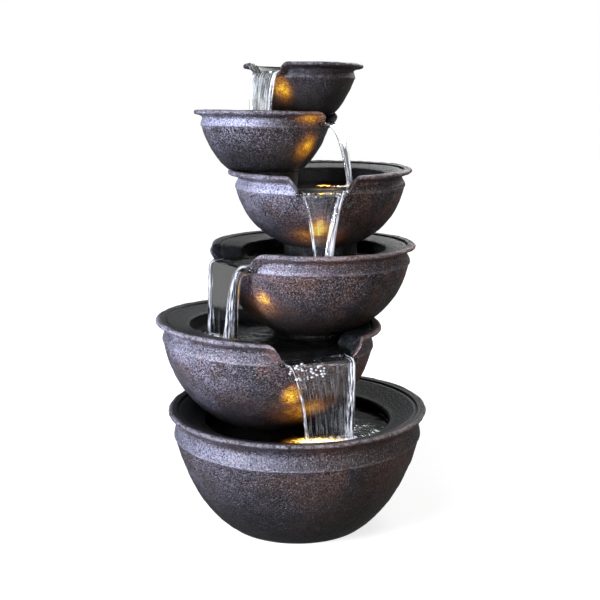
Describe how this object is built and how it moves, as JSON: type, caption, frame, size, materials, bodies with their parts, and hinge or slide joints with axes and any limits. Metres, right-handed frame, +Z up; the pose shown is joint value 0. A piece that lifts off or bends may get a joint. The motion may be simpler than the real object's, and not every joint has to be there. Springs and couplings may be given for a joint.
{
  "type": "tabletop water fountain",
  "caption": "Free-standing tabletop fountain of stacked round resin bowls with notched spouts, spilling water from bowl to bowl into a basin with a submersible pump and amber lamps.",
  "frame": {"origin": "centre of the foam pad's resting face, on the basin's axis", "axes": "+Z up; -Y is the front, from which the spouts are seen; +X is to the right"},
  "size_m": [0.263, 0.3045, 0.44],
  "materials": {
    "bronze_resin": "stone-filled resin casting, fine hammered grain, hand-painted dark bronze with a pale lavender rub on raised edges",
    "foam": "open-cell foam",
    "rubber": "moulded, matt",
    "clear_hose": "clear flexible vinyl",
    "pump_plastic": "fine moulded grain",
    "dial_plastic": "moulded, satin",
    "white_plastic": "moulded",
    "copper": "enamelled copper wire",
    "ferrite": "ground ferrite",
    "shaft_ceramic": "polished",
    "steel": "stainless",
    "lamp_plastic": "moulded",
    "lamp_board": "white solder mask with warm emitters",
    "amber_lens": "clear cast epoxy over warm emitters",
    "water": "clear running water"
  },
  "bodies": {
    "basin": {"basin": "bronze_resin", "base_pad": "foam", "cable_gland": "rubber", "pump_body": "pump_plastic", "pump_coil": "copper", "pump_volute": "pump_plastic", "volute_seal": "rubber", "volute_screws": "steel", "rotor_shaft": "shaft_ceramic", "shaft_bushes": "rubber", "suction_cups": "rubber", "pump_lead": "rubber", "lamp_housing_1": "lamp_plastic", "lamp_board_1": "lamp_board", "lamp_lens_1": "amber_lens"},
    "stack": {"bowl_2": "bronze_resin", "bowl_3": "bronze_resin", "bowl_4": "bronze_resin", "bowl_5": "bronze_resin", "bowl_6": "bronze_resin", "pump_pedestal": "bronze_resin", "riser_hose": "clear_hose", "hose_grommet": "rubber", "lamp_housing_2": "lamp_plastic", "lamp_board_2": "lamp_board", "lamp_lens_2": "amber_lens", "lamp_housing_3": "lamp_plastic", "lamp_board_3": "lamp_board", "lamp_lens_3": "amber_lens", "lamp_housing_4": "lamp_plastic", "lamp_board_4": "lamp_board", "lamp_lens_4": "amber_lens", "lamp_housing_5": "lamp_plastic", "lamp_board_5": "lamp_board", "lamp_lens_5": "amber_lens"},
    "intake_cover": {"pump_intake_cover": "pump_plastic", "intake_foam": "foam"},
    "flow_dial": {"flow_dial": "dial_plastic"},
    "rotor": {"impeller": "white_plastic", "rotor_magnet": "ferrite"}
  },
  "joints": [
    {"name": "stack_lift", "type": "slide", "parent": "basin", "child": "stack", "axis": [0, 0, 1], "range_m": [0, 0.12]},
    {"name": "cover_slide", "type": "slide", "parent": "basin", "child": "intake_cover", "axis": [0, -1, 0], "range_m": [0, 0.014]},
    {"name": "flow_turn", "type": "hinge", "parent": "intake_cover", "child": "flow_dial", "pos_m": [-0.03205, 0.007, 0.032], "axis": [0, 1, 0], "range_deg": [-45, 45]},
    {"name": "rotor_spin", "type": "hinge", "parent": "basin", "child": "rotor", "pos_m": [-0.03205, 0.032, 0.032], "axis": [0, 1, 0], "continuous": true}
  ]
}
